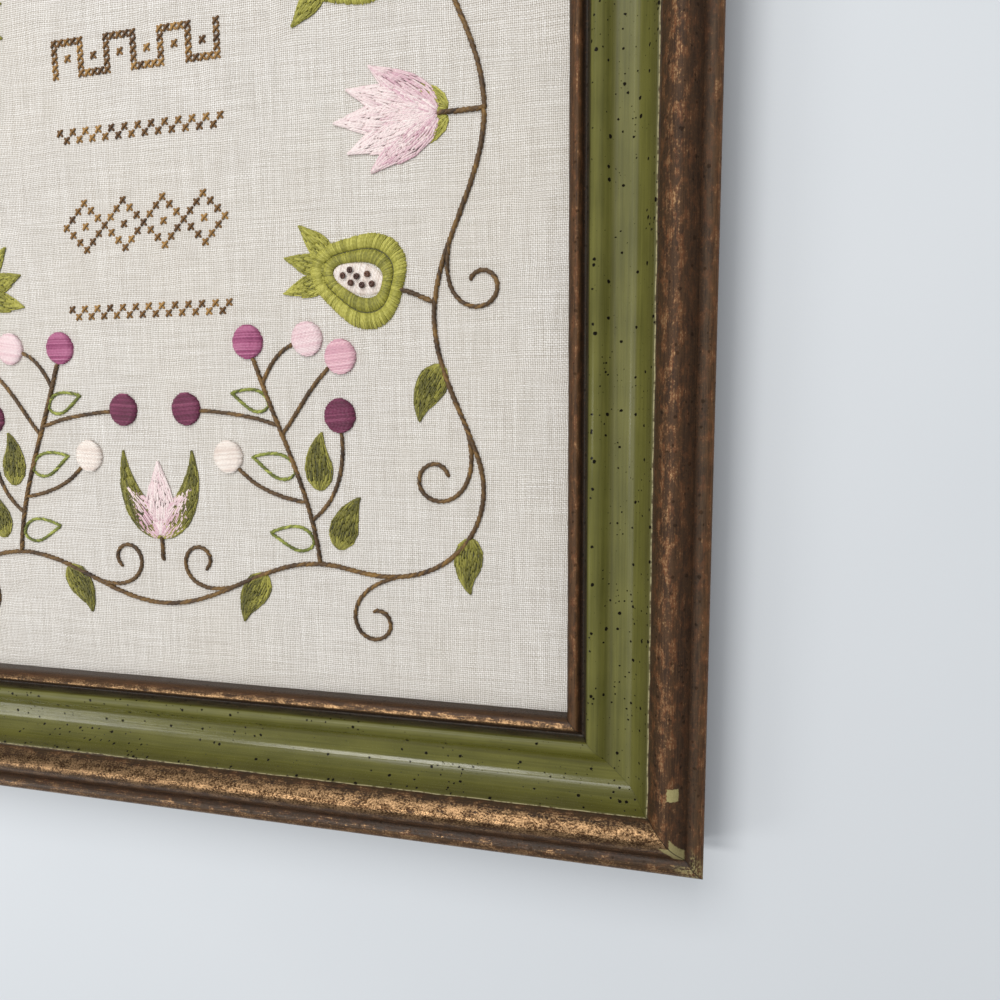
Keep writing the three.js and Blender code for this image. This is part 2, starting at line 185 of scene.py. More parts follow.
class Nodes:
    """One material's node tree, built with short calls that return values of it."""

    # The colour sockets of a mix node, by number, because its sockets share their names
    MIX_FIRST = 6
    MIX_SECOND = 7
    MIX_RESULT = 2

    def __init__(self, name):
        self.material = bpy.data.materials.new(name)
        self.material.use_nodes = True
        self.tree = self.material.node_tree
        self.shader = self.tree.nodes["Principled BSDF"]

    def put(self, socket, value):
        """Link a value to a socket, or set a number or a colour of 0 to 255 numbers there."""
        if isinstance(value, Value):
            self.tree.links.new(value.socket, socket)
        else:
            socket.default_value = tone(*value) if isinstance(value, tuple) else value

    def node(self, kind, output, inputs, **settings):
        """Add a node and feed its inputs; the answer is one output, or one for each name in a tuple."""
        node = self.tree.nodes.new(kind)
        for name, value in settings.items():
            setattr(node, name, value)
        for key, value in inputs.items():
            self.put(node.inputs[key], value)
        if isinstance(output, tuple):
            return [Value(self, node.outputs[key]) for key in output]
        return Value(self, node.outputs[output])

    def set(self, **inputs):
        """Feed the shader; an underscore in a name stands for a space."""
        for name, value in inputs.items():
            self.put(self.shader.inputs[name.replace("_", " ")], value)

    def math(self, operation, *values):
        return self.node("ShaderNodeMath", 0, dict(enumerate(values)), operation=operation)

    def larger(self, first, second):
        return self.math("MAXIMUM", first, second)

    def place(self):
        """Where a point lies in the part's frame, in metres."""
        return self.node("ShaderNodeTexCoord", "Object", {})

    def attribute(self, name):
        return self.node("ShaderNodeAttribute", "Fac", {}, attribute_name=name)

    def split(self, vector):
        return self.node("ShaderNodeSeparateXYZ", (0, 1, 2), {0: vector})

    def join(self, x, y, z=0.0):
        return self.node("ShaderNodeCombineXYZ", 0, {0: x, 1: y, 2: z})

    def noise(self, vector, scale=1.0, detail=2.0, roughness=0.5):
        inputs = {"Vector": vector, "Scale": scale, "Detail": detail, "Roughness": roughness}
        return self.node("ShaderNodeTexNoise", "Fac", inputs)

    def cells(self, vector, scale):
        """Distance from the nearest point scattered in a plane, and that point's own random colour."""
        inputs = {"Vector": vector, "Scale": scale}
        return self.node("ShaderNodeTexVoronoi", ("Distance", "Color"), inputs, voronoi_dimensions="2D")

    def step(self, value, low, high, to_low=0.0, to_high=1.0):
        """A smooth step of value from low to high."""
        inputs = {0: value, 1: low, 2: high, 3: to_low, 4: to_high}
        return self.node("ShaderNodeMapRange", 0, inputs, interpolation_type="SMOOTHSTEP")

    def fall(self, value, low, high):
        """A smooth step down from 1 at low to 0 at high."""
        return self.step(value, low, high, 1.0, 0.0)

    def near(self, value, middle, reach, soft):
        """1 where value lies within reach of middle, falling to 0 over a soft edge."""
        return self.fall(abs(value - middle), reach - soft, reach + soft)

    def ramp(self, value, stops):
        """Colours or shares by position; stops are (position, colour or number)."""
        node = self.tree.nodes.new("ShaderNodeValToRGB")
        self.put(node.inputs[0], value)
        elements = node.color_ramp.elements
        while len(elements) < len(stops):
            elements.new(1.0)
        for element, (position, colour) in zip(elements, stops):
            element.position = position
            element.color = tone(*colour) if isinstance(colour, tuple) else (colour, colour, colour, 1.0)
        return Value(self, node.outputs[0])

    def mix(self, factor, first, second):
        inputs = {0: factor, self.MIX_FIRST: first, self.MIX_SECOND: second}
        return self.node("ShaderNodeMix", self.MIX_RESULT, inputs, data_type="RGBA")

    def bump(self, height, strength, distance):
        inputs = {"Height": height, "Strength": strength, "Distance": distance}
        return self.node("ShaderNodeBump", 0, inputs)


# Meshes and other things in the scene

def show(name, data):
    """Put a new object into the scene."""
    thing = bpy.data.objects.new(name, data)
    bpy.context.scene.collection.objects.link(thing)
    return thing


def tube_faces(rings, count, base=0):
    """Quads that join rings of so many points, one ring after another."""
    faces = []
    for i in range(rings - 1):
        here = base + i * count
        following = here + count
        for j in range(count):
            k = (j + 1) % count
            faces.append((here + j, following + j, following + k, here + k))
    return faces


def mesh_piece(name, points, faces, materials, smooth_angle=None, numbers=None, second=()):
    """A piece from points in millimetres, with named numbers at its points.

    The faces counted in second take the second material.
    """
    mesh = bpy.data.meshes.new(name)
    mesh.from_pydata([tuple(p) for p in np.asarray(points) * MM], [], faces)
    mesh.update()
    for label, values in (numbers or {}).items():
        layer = mesh.attributes.new(label, "FLOAT", "POINT")
        layer.data.foreach_set("value", np.asarray(values, np.float32))
    for material in materials:
        mesh.materials.append(material)
    for face in second:
        mesh.polygons[face].material_index = 1
    mesh.shade_smooth()
    if smooth_angle is not None:
        mesh.set_sharp_from_angle(angle=math.radians(smooth_angle))
    piece = show(name, mesh)
    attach(piece, BODY)
    return piece


# The moulding

RAIL_PITCH = 4.0
END_PITCH = 0.7
END_REACH = 9.0
MITRE_GAP = 0.02
RAIL_STRIDE = 600
RAIL_SHARP_ANGLE = 42
PAINT_FROM = 6.3
PAINT_TO = 24.2
SIDE_POINTS = (14.0, 7.0, 0.0)
BACK_POINTS = (24.0, REBATE_WIDTH)


def section_loop():
    """The whole closed section, with the distance along it from the sight edge."""
    side = [(MOULDING_WIDTH, up) for up in SIDE_POINTS]
    back = [(out, 0.0) for out in BACK_POINTS] + [(REBATE_WIDTH, LIP_BACK)]
    loop = np.vstack([FACE, side, back])
    return loop, run_along(loop)


def rail_stations(half_length):
    """Places along a rail at its sight edge, close together near the mitres."""
    ends = np.arange(0, END_REACH, END_PITCH)
    middle = np.linspace(END_REACH, 2 * half_length - END_REACH, int(2 * half_length / RAIL_PITCH))
    return np.concatenate([ends, middle, 2 * half_length - ends[::-1]]) - half_length


def rail(side, turns, materials):
    """One mitred length: turn 0 is the bottom, and each turn more is a quarter round the picture.

    Its points know how far they lie over the section, along the rail and from the nearer mitre.
    """
    half_length, reach = SIGHT_HALF_WIDTH, SIGHT_HALF_HEIGHT
    if turns % 2 == 1:
        half_length, reach = reach, half_length
    loop, arc = section_loop()
    count = len(loop)
    stations = rail_stations(half_length)
    points, across, along, to_mitre = [], [], [], []
    for station in stations:
        for (out, up), place in zip(loop, arc):
            x = station / half_length * (half_length + out - MITRE_GAP)
            points.append((*spun(x, -(reach + out), turns * math.pi / 2), up))
            across.append(place)
            along.append(x + RAIL_STRIDE * turns)
            to_mitre.append(half_length + out - abs(x))
    faces = tube_faces(len(stations), count)
    last = (len(stations) - 1) * count
    faces += [tuple(range(count)), tuple(reversed(range(last, last + count)))]
    middles = (arc + np.roll(arc, -1)) / 2
    is_painted = (middles > run_at(PAINT_FROM)) & (middles < run_at(PAINT_TO))
    painted = [face for face in range(last) if is_painted[face % count]]
    numbers = {"across": across, "along": along, "to_mitre": to_mitre}
    piece = mesh_piece("moulding_" + side, points, faces, materials, RAIL_SHARP_ANGLE, numbers,
                       painted)
    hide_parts("rail_" + side)


# What the moulding looks like across its face: a place in millimetres out from the sight edge,
# and a share or a colour there
# The dark glaze over the green by place: deepest in the groove, the quirk, the crease and at the foot of the
# fillet, where it is partly painted shade
WASH_AND_SHADE = [(5.6, 0.9), (6.6, 0.12), (9.0, 0.0), (11.2, 0.1), (12.9, 0.5), (13.5, 0.1), (17.8, 0.0), (18.9, 0.3),
        (19.6, 0.15), (22.0, 0.3), (23.4, 0.7), (24.0, 0.5)]
# The brown under the gilt, by place; its darker stops on the sight-edge wall, in the groove behind the bead
# and in the outer groove are partly painted shade
UNDERTONES_AND_SHADE = [
    (0.0, (50, 34, 21)), (1.4, (80, 56, 35)), (3.2, (88, 62, 37)), (4.0, (48, 34, 24)), (4.4, (42, 33, 25)),
    (4.8, (44, 37, 29)), (5.4, (52, 48, 36)), (6.0, (74, 71, 44)), (23.9, (76, 64, 38)), (24.6, (58, 44, 26)),
    (26.0, (62, 44, 27)), (27.0, (68, 47, 29)), (29.3, (74, 51, 31)), (32.5, (66, 46, 29)),
    (34.6, (60, 43, 29)), (35.6, (56, 41, 29)), (37.4, (72, 54, 36)), (39.2, (86, 60, 37)),
    (40.0, (106, 74, 44))]
RUBBED = [
    (0.0, 0.0), (0.8, 0.05), (1.4, 0.3), (2.2, 0.44), (2.9, 0.5), (3.4, 0.42), (4.0, 0.1), (4.8, 0.0),
    (23.9, 0.0), (24.8, 0.12), (25.6, 0.3), (26.8, 0.56), (28.5, 0.62), (30.0, 0.52), (31.5, 0.36),
    (33.0, 0.24), (34.5, 0.14), (35.2, 0.1), (36.6, 0.22), (38.0, 0.3), (39.4, 0.44), (40.0, 0.5)]
MATT_SHOULDER = [(5.6, 1.0), (7.6, 1.0), (9.6, 0.2), (11.0, 0.0)]
GROOVE_EDGE = (5.9, 6.4)
PAINT_EDGE = (23.95, PAINT_TO)
CHIPPED_EDGE = (36.0, 37.0)

GREEN_TONES = ((83, 82, 27), (104, 102, 42))
# The glaze's colour, which also paints the shade in the green's hollows
WASH_AND_SHADE_TONE = (56, 51, 18)
RUB_LINE_TONE = (176, 167, 126)
DARK_WOOD_TONE = (30, 19, 13)
GRAIN_TONE = (108, 73, 42)
WARM_TONE = (116, 72, 42)
GOLD_TONES = ((52, 34, 20), (162, 131, 96))
SPECK_TONE = (19, 14, 8)
MARK_TONES = ((126, 118, 76), (172, 162, 114))
JOINT_TONE = (26, 20, 14)
PLAIN_WOOD_TONES = ((176, 140, 96), (212, 182, 138))
STAIN_TONES = ((44, 28, 20), (78, 52, 34))

# Two sizes of specks: cells to the millimetre, which random number sets the size, how much of it
# is needed, the largest radius in cells, and how soft the rim is
BIG_SPECKS = Named(scale=0.24, number=0, needed=0.4, radius=0.13, inside=0.03, outside=0.02)
FINE_SPECKS = Named(scale=0.62, number=1, needed=0.64, radius=0.17, inside=0.05, outside=0.03)

# Worn marks near the lower right corner, by their place on the face: the right rail is the second
PUTTY = Named(across=31.3, along=RAIL_STRIDE - 192.3, half_width=1.75, half_length=1.85, soft=0.15)
MENDED = Named(start=30.4, end=34.8, reach=3.0)
CORNER_FROM = 100
CORNER_TO = RAIL_STRIDE - 150
BOTTOM_RAIL_END = RAIL_STRIDE / 2


class MouldingNodes(Nodes):
    """The moulding's node tree, with its places and the noises that paint and wear share."""

    def __init__(self, name):
        super().__init__(name)
        self.across = self.attribute("across")
        self.along = self.attribute("along")
        self.to_mitre = self.attribute("to_mitre")
        self.edge = self.across + (self.spread(0.3, 0.12) - 0.5) * 0.6
        self.streaks = self.spread(1.1, 0.022, 4.0, 0.6)
        self.clouds = self.spread(0.12, 0.06)
        self.grain = self.spread(2.0, 1.3, 4.0, 0.7)
        self.lines = self.spread(2.3, 0.1, 3.0, 0.6)
        self.patches = self.spread(0.3, 0.08, 3.0, 0.6)
        self.mottle = self.spread(0.45, 0.2, 4.0, 0.65)
        self.is_bottom = self.fall(self.along, BOTTOM_RAIL_END - 1, BOTTOM_RAIL_END)

    def spread(self, over, length, detail=3.0, roughness=0.5):
        """Noise with so many features a millimetre over the face and along the rail."""
        return self.noise(self.join(self.across * over, self.along * length), 1.0, detail, roughness)

    def by_place(self, table):
        """A table's value at this place across the face."""
        stops = [(run_at(place) / FACE_LENGTH, value) for place, value in table]
        return self.ramp(self.edge / FACE_LENGTH, stops)

    def green_paint(self):
        """The paint, with a dark glaze in its hollows that is partly painted shade."""
        shine = self.step(self.streaks * 0.6 + self.clouds * 0.4, 0.34, 0.66)
        return self.mix(self.by_place(WASH_AND_SHADE) * 0.75, self.mix(shine, *GREEN_TONES), WASH_AND_SHADE_TONE)

    def rubbed_bronze(self):
        """The brown beads and ridge, and how much gilt shows on them; the bottom rail shows more, as a
        painted highlight.
        """
        # Brown by place, partly painted shade in the grooves and on the sight-edge wall
        brown = self.by_place(UNDERTONES_AND_SHADE)
        dark = self.mix(0.6, brown, DARK_WOOD_TONE)
        brown = self.mix(self.step(self.patches * 0.35 + self.lines * 0.65, 0.38, 0.58), dark, brown)
        brown = self.mix(self.step(self.grain, 0.5, 0.74, 0.0, 0.45), brown, GRAIN_TONE)
        rubbed = self.by_place(RUBBED)
        rub = self.grain * 0.45 + self.lines * 0.4 + self.mottle * 0.5
        # More gilt on the bottom rail than on the others: a painted highlight where light catches it
        gilt_and_highlight = self.step(rub + rubbed * (self.is_bottom * 0.33 + 0.24), 0.82, 0.97)
        brown = self.mix(self.step(self.mottle, 0.46, 0.64) * (rubbed * 1.3), brown, WARM_TONE)
        flakes = self.step(self.grain * 0.6 + self.mottle * 0.4, 0.42, 0.6)
        return self.mix(gilt_and_highlight * 0.9, brown, self.mix(flakes, *GOLD_TONES)), gilt_and_highlight

    def speck_layer(self, place, specks, size=1.0):
        """Specks of one kind, at most one in each cell of a scatter."""
        far, own = self.cells(place, specks.scale)
        chance = self.split(own)[specks.number]
        radius = self.step(chance, specks.needed, 1.0) * specks.radius * size
        return self.fall(far - radius, -specks.inside, specks.outside)

    def specks(self):
        """Large specks all over, and fine ones in clusters."""
        place = self.join(self.across + self.grain * 0.6, self.along + self.spread(0.9, 0.9) * 0.9)
        cluster = self.step(self.spread(0.09, 0.045, 2.0), 0.46, 0.64)
        fine = self.speck_layer(place, FINE_SPECKS, cluster + 0.4)
        return self.larger(self.speck_layer(place, BIG_SPECKS), fine)

    def corner_marks(self):
        """The square of putty, the mend at the corner's mitre and the chips beyond it."""
        across = self.across + (self.grain - 0.5) * 1.5
        along = self.along + (self.patches + self.grain - 1) * 1.3
        putty = self.near(across, run_at(PUTTY.across), PUTTY.half_width, PUTTY.soft)
        putty = putty * self.near(along, PUTTY.along, PUTTY.half_length, PUTTY.soft)
        first, last, reach = run_at(MENDED.start), run_at(MENDED.end), MENDED.reach
        mended = self.step(across, first - 0.2, first + 0.2) * self.fall(across, last - 0.6, last + 0.4)
        mended = mended * self.fall(self.to_mitre + (self.patches - 0.5) * 3, reach - 0.5, reach)
        chipped = self.step(self.across, *map(run_at, CHIPPED_EDGE))
        chipped = chipped * self.step(self.grain + self.lines * 0.6, 0.78, 0.86)
        chipped = chipped * self.fall(self.to_mitre, 2, 7)
        at_corner = self.step(self.along, CORNER_FROM, CORNER_FROM + 1)
        at_corner = at_corner * self.fall(self.along, CORNER_TO - 1, CORNER_TO)
        return self.larger(putty, at_corner * self.larger(mended * 0.8, chipped * 0.7))

    def plain_wood(self):
        """The unpainted back and the stained outer side."""
        side_end = FACE_LENGTH + SIDE_HEIGHT
        is_side = self.fall(self.across, side_end - 0.6, side_end - 0.1)
        wood = self.mix(self.streaks, *PLAIN_WOOD_TONES)
        return self.mix(is_side, wood, self.mix(self.streaks, *STAIN_TONES))


def moulding_material(name, gloss, specular, coat):
    """Painted and rubbed wood: every band of colour is placed by its distance over the face."""
    n = MouldingNodes(name)
    bronze, gilt_and_highlight = n.rubbed_bronze()
    is_green = n.step(n.edge, *map(run_at, GROOVE_EDGE)) - n.step(n.edge, *map(run_at, PAINT_EDGE))
    colour = n.mix(is_green, bronze, n.green_paint())
    broken = n.step(n.spread(0.1, 0.5, 3.0, 0.6), 0.36, 0.56, 0.15, 0.85)
    colour = n.mix(n.near(n.edge, run_at(PAINT_TO), 0.16, 0.08) * broken, colour, RUB_LINE_TONE)
    specks = n.specks() * (is_green * 0.6 + 0.4)
    colour = n.mix(specks * 0.97, colour, SPECK_TONE)
    marks = n.corner_marks()
    colour = n.mix(marks, colour, n.mix(n.grain, *MARK_TONES))
    joint = n.fall(n.to_mitre, 0.12, 0.34) * (0.75 - is_green * 0.6)
    colour = n.mix(joint, colour, JOINT_TONE)
    is_face = n.fall(n.across, FACE_LENGTH + 0.5, FACE_LENGTH + 1.5)
    colour = n.mix(is_face, n.plain_wood(), colour)

    roughness = n.grain * 0.12 + gloss + (1 - is_face) * 0.35 + marks * 0.25 + specks * 0.4
    roughness = roughness + (1 - n.is_bottom) * 0.26 + n.by_place(MATT_SHOULDER) * is_green * 0.35
    # Metal where the gilt shows, with the bottom rail's painted highlight
    metal = gilt_and_highlight * (1 - n.larger(specks, marks)) * (1 - is_green) * is_face
    metal = n.larger(metal, specks * 0.85)
    relief = n.grain * (1 - is_green * 0.85) - specks * 0.5 + n.streaks * 0.6 + marks * 0.4
    n.set(Base_Color=colour, Roughness=roughness, Metallic=metal, Normal=n.bump(relief, 0.5, 0.0002),
          Specular_IOR_Level=specular, Coat_Weight=coat, Coat_Roughness=0.2)
    return n.material


# The linen

WEAVE_PITCH = 0.62
LINEN_CELL = 1.7
LINEN_SHARP_ANGLE = 50
LINEN_TONES = [(0.48, (134, 123, 108)), (0.7, (199, 193, 184)), (0.82, (220, 215, 208)),
                (1.0, (254, 252, 249))]
AGED_TONE = (206, 194, 172)


def linen_material():
    """Plain weave with uneven threads and slubs, and painted shade between the threads."""
    n = Nodes("linen_cloth")
    x, y, _ = n.split(n.place())
    x = x * (1 / MM)
    y = y * (1 / MM)
    sway_x = (n.noise(n.join(x * 0.05, y * 0.05), 1.0, 2.0) - 0.5) * 3
    sway_y = (n.noise(n.join(x * 0.05, y * 0.05, 9.0), 1.0, 2.0) - 0.5) * 3
    wave_x = n.math("SINE", (x + sway_y) * (math.pi / WEAVE_PITCH))
    wave_y = n.math("SINE", (y + sway_x) * (math.pi / WEAVE_PITCH))
    warp = abs(wave_x)
    weft = abs(wave_y)
    over = n.step(wave_x * wave_y, -0.15, 0.15)
    height = over * warp + (1 - over) * weft
    pinholes_and_shade = n.step(n.larger(warp, weft), 0.25, 0.8)
    warp_tint = n.noise(n.join(x * 1.3, y * 0.04), 1.0, 3.0, 0.8)
    weft_tint = n.noise(n.join(x * 0.04, y * 1.3, 5.0), 1.0, 3.0, 0.8)
    slubs = over * warp_tint + (1 - over) * weft_tint
    fuzz = n.noise(n.join(x, y), 1.3, 3.0, 0.7)
    # Painted shade of the weave: the colour is lighter on the threads' crowns and darker in the gaps between
    # them, which are partly real pinholes
    cloth = n.ramp(slubs * 0.62 + height * 0.22 + fuzz * 0.22 + pinholes_and_shade * 0.24, LINEN_TONES)
    aging = n.noise(n.join(x, y), 0.012, 3.0)
    cloth = n.mix(n.step(aging, 0.35, 0.75, 0.0, 0.14), cloth, AGED_TONE)
    relief = height + slubs * 1.1 + fuzz * 0.5
    n.set(Base_Color=cloth, Roughness=0.92, Normal=n.bump(relief, 0.7, 0.00022), Sheen_Weight=0.12,
          Sheen_Roughness=0.5)
    return n.material


def linen_height(x, y):
    """How far the stretched cloth stands off its flat plane."""
    slow = 0.09 * np.sin(x / 31 + 0.6) * np.cos(y / 43 - 0.4) + 0.05 * np.sin(x / 17 + y / 23)
    margin = np.minimum(np.minimum(SIGHT_HALF_WIDTH - np.abs(x), SIGHT_HALF_HEIGHT - np.abs(y)) / 12, 1.0)
    return slow * np.clip(margin, 0, 1)


def linen_sheet(material):
    half_width, half_height, _ = linen_high
    columns = int(2 * half_width / LINEN_CELL) + 1
    lines = int(2 * half_height / LINEN_CELL) + 1
    x, y = np.meshgrid(np.linspace(-half_width, half_width, columns),
                       np.linspace(-half_height, half_height, lines))
    top = np.stack([x, y, LINEN_TOP + linen_height(x, y)], -1).reshape(-1, 3)
    bottom = np.stack([x, y, np.full_like(x, LINEN_BACK)], -1).reshape(-1, 3)
    index = np.arange(lines * columns).reshape(lines, columns)
    quads = np.stack([index[:-1, :-1], index[:-1, 1:], index[1:, 1:], index[1:, :-1]], -1).reshape(-1, 4)
    faces = [tuple(quad) for quad in quads.tolist()]
    border = np.concatenate([index[0], index[1:, -1], index[-1, -2::-1], index[-2:0:-1, 0]]).tolist()
    base = lines * columns
    count = len(border)
    for i in range(count):
        k = (i + 1) % count
        faces.append((border[i], base + i, base + k, border[k]))
    faces.append(tuple(base + i for i in reversed(range(count))))
    points = np.vstack([top, bottom[border]])
    piece = mesh_piece("linen_cloth", points, faces, [material], LINEN_SHARP_ANGLE)
    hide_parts("linen")


# Lines that the stitches follow

VINE = Named(half_width=107, half_height=143, corner=40, wave=8, waves=8)
VINE_STRAIGHT = VINE.half_height - VINE.corner
VINE_ARC = VINE.corner * math.pi / 2
VINE_LENGTH = 4 * (VINE.half_width - VINE.corner + VINE_STRAIGHT + VINE_ARC)
VINE_STEPS = 900
LINE_PARTS = 24
TENDRIL_PARTS = 40


def vine_point(along):
    """A point of the vine and its heading, from the middle of the right side downwards."""
    quarter = VINE_LENGTH / 4
    along = along % VINE_LENGTH
    turn = int(along // quarter)
    part = along - turn * quarter
    place = quarter - part if turn % 2 == 1 else part
    x, y, heading = VINE.half_width, -place, -math.pi / 2
    if place > VINE_STRAIGHT + VINE_ARC:
        x = VINE.half_width - VINE.corner - (place - VINE_STRAIGHT - VINE_ARC)
        y = -VINE.half_height
        heading = -math.pi
    elif place > VINE_STRAIGHT:
        angle = (place - VINE_STRAIGHT) / VINE.corner
        x = VINE.half_width - VINE.corner + VINE.corner * math.cos(angle)
        y = -VINE_STRAIGHT - VINE.corner * math.sin(angle)
        heading = -math.pi / 2 - angle
    pace = 2 * math.pi * VINE.waves / VINE_LENGTH
    wave = VINE.wave * math.cos(pace * place)
    slope = -VINE.wave * pace * math.sin(pace * place)
    x -= math.sin(heading) * wave
    y += math.cos(heading) * wave
    return np.array([-x if turn in (1, 2) else x, -y if turn in (2, 3) else y]), heading + math.atan(slope)


def bent_line(start, heading, length, bend=0.0, bend_end=0.0, parts=LINE_PARTS):
    """A line whose bend (1/mm) changes evenly from bend to bend_end, with its last heading."""
    points = [np.array(start, float)]
    step = length / parts
    for i in range(parts):
        heading += (bend + (bend_end - bend) * (i + 0.5) / parts) * step
        points.append(points[-1] + step * way(heading))
    return np.array(points), heading


class Track:
    """A line read by the distance along it."""

    LOOK = 0.4

    def __init__(self, points):
        self.points = np.asarray(points, float)
        self.run = run_along(self.points)
        self.length = self.run[-1]

    def at(self, distance):
        return np.array([np.interp(distance, self.run, self.points[:, i]) for i in (0, 1)])

    def aside(self, distance, offset):
        """A point so far to the left of the line."""
        before = self.at(max(distance - self.LOOK, 0))
        after = self.at(min(distance + self.LOOK, self.length))
        direction = (after - before) / max(np.linalg.norm(after - before), TINY)
        return self.at(distance) + offset * np.array([-direction[1], direction[0]])


LEAF_BELLY = 0.65
OUTLINE_STEPS = 30


class Leaf:
    """A leaf or petal, read by its length (0 to 1) and its side (-1 to 1)."""

    def __init__(self, start, heading, length, width, bend=0.0, bend_end=None):
        line, _ = bent_line(start, heading, length, bend, bend if bend_end is None else bend_end)
        self.track = Track(line)
        self.width = width

    def half_width(self, share):
        return self.width / 2 * math.sin(math.pi * min(max(share, 0.0), 1.0) ** LEAF_BELLY)

    def at(self, share, side):
        return self.track.aside(share * self.track.length, side * self.half_width(share))

    def outline(self):
        left = [self.at(i / OUTLINE_STEPS, 1) for i in range(OUTLINE_STEPS + 1)]
        right = [self.at(i / OUTLINE_STEPS, -1) for i in range(OUTLINE_STEPS, -1, -1)]
        return np.array(left + right[1:])


# Threads

def lengths_kept(vectors):
    """The lengths of rows of vectors, none of them nought."""
    return np.maximum(np.linalg.norm(vectors, axis=1, keepdims=True), TINY)


class Threads:
    """The stitches of one piece: each a flattened tube with closed ends."""

    SIDES = 6
    ANGLES = np.arange(SIDES) * math.pi / 3
    END_SIZE = 0.6
    STEEP = 0.2
    PLY_SHIFT = 7.0

    def __init__(self):
        self.tubes = []

    def add(self, path, width, thickness, tint):
        """A thread along a path of (x, y, z) points, so wide and thick."""
        path = np.asarray(path, float)
        size = len(path)
        tangent = np.gradient(path, axis=0)
        tangent /= lengths_kept(tangent)
        flat = tangent[:, :2]
        level = np.linalg.norm(flat, axis=1)[:, None]
        whole = path[-1, :2] - path[0, :2]
        whole = whole / max(np.linalg.norm(whole), TINY)
        flat = np.where(level > self.STEEP, flat / np.maximum(level, TINY), whole)
        side = np.stack([-flat[:, 1], flat[:, 0], np.zeros(size)], -1)
        up = np.cross(tangent, side)
        up /= lengths_kept(up)
        scale = np.ones(size)
        scale[0] = scale[-1] = self.END_SIZE
        ring = np.cos(self.ANGLES)[None, :, None] * side[:, None, :] * width / 2
        ring = ring + np.sin(self.ANGLES)[None, :, None] * up[:, None, :] * thickness / 2
        points = path[:, None, :] + ring * scale[:, None, None]
        numbers = np.stack([np.full(size * self.SIDES, tint),
                            np.repeat(run_along(path), self.SIDES) + self.PLY_SHIFT * tint,
                            np.tile(self.ANGLES, size)])
        self.tubes.append((points.reshape(-1, 3), numbers, 1))

    def join_mirrored(self, other, flip_x, flip_y):
        """Take over other stitches, mirrored into another quarter of the picture."""
        scale = np.array([-1 if flip_x else 1, -1 if flip_y else 1, 1])
        turned = -1 if flip_x != flip_y else 1
        self.tubes += [(points * scale, numbers, order * turned) for points, numbers, order in other.tubes]

    def piece(self, name, material, slot):
        faces = []
        first = 0
        for points, _, order in self.tubes:
            last = first + len(points) - self.SIDES
            tube = tube_faces(len(points) // self.SIDES, self.SIDES, first)
            tube += [(first, first + 1, first + 2, first + 3), (first, first + 3, first + 4, first + 5),
                     (last + 3, last + 2, last + 1, last), (last + 5, last + 4, last + 3, last)]
            faces += [face[::order] for face in tube]
            first += len(points)
        points = np.vstack([tube[0] for tube in self.tubes])
        points[:, 2] += linen_height(points[:, 0], points[:, 1])
        numbers = np.concatenate([tube[1] for tube in self.tubes], axis=1)
        mesh_piece(name, points, faces, [material],
                   numbers=dict(zip(("tint", "along", "around"), numbers)))


# Profiles of stitches: rows of a share of the length and a share of the height
ROOT_DEPTH = 0.25
FLAT_PROFILE = ((0.0, 0.0), (0.16, 0.85), (0.84, 0.85), (1.0, 0.0))
ROUND_PROFILE = ((0.0, 0.0), (0.1, 0.7), (0.5, 1.0), (0.9, 0.7), (1.0, 0.0))
STEM_PROFILE = ((0.0, 0.0), (0.12, 0.75), (0.5, 1.0), (0.88, 0.75), (1.0, 0.0))
LONG_PROFILE = ((0.0, 0.1), (0.2, 0.9), (0.8, 0.9), (1.0, 0.1))
BAND_PROFILE = ((0.0, -0.3), (0.1, 0.45), (0.5, 1.0), (0.88, 0.6), (1.0, -0.2))
BERRY_SHARES = (-1.0, -0.93, -0.6, 0.0, 0.6, 0.93, 1.0)


def rooted(rise, lift):
    """The height of a thread whose ends go down into the cloth."""
    return LINEN_TOP - ROOT_DEPTH + rise * (lift + ROOT_DEPTH)


def stitch(threads, start, end, width, thickness, lift, tint, profile=FLAT_PROFILE):
    """One stitch between two points of the cloth, which it leaves and enters steeply."""
    path = []
    for share, rise in profile:
        x, y = np.asarray(start) + (np.asarray(end) - np.asarray(start)) * share
        path.append((x, y, rooted(rise, lift)))
    threads.add(path, width, thickness, tint)


# A rope's threads: their width, slant and lift as shares of the rope's width
ROPE = Named(thread=0.6, slant=0.2, lift=0.3, flatness=0.85, overhang=0.4, last_pitch=0.3)


def stem_stitch(threads, points, width, pitch=1.75, length=4.0):
    """A rope of overlapping slanted stitches along a line."""
    track = Track(points)
    thread = width * ROPE.thread
    slant = width * ROPE.slant
    place = -length * ROPE.overhang
    while place < track.length - pitch * ROPE.last_pitch:
        first = max(place, 0.0)
        last = min(place + length, track.length)
        wobble = jitter(0.05)
        path = []
        for share, rise in STEM_PROFILE:
            x, y = track.aside(first + (last - first) * share, -slant + 2 * slant * share + wobble)
            path.append((x, y, rooted(rise, width * ROPE.lift + jitter(0.04))))
        threads.add(path, thread * dice.uniform(0.92, 1.1), thread * ROPE.flatness, dice.random())
        place += pitch * dice.uniform(0.92, 1.08)


BERRY_RADIUS = 5.3
BERRY_RIM = 0.25
BERRY_HEIGHT = 1.15
BERRY_BASE = 0.2
BERRY_SAG = 0.02
BERRY_LEAN = 0.15
SATIN_PITCH = 0.44
SATIN_THREAD = (SATIN_PITCH * 1.25, 0.42)


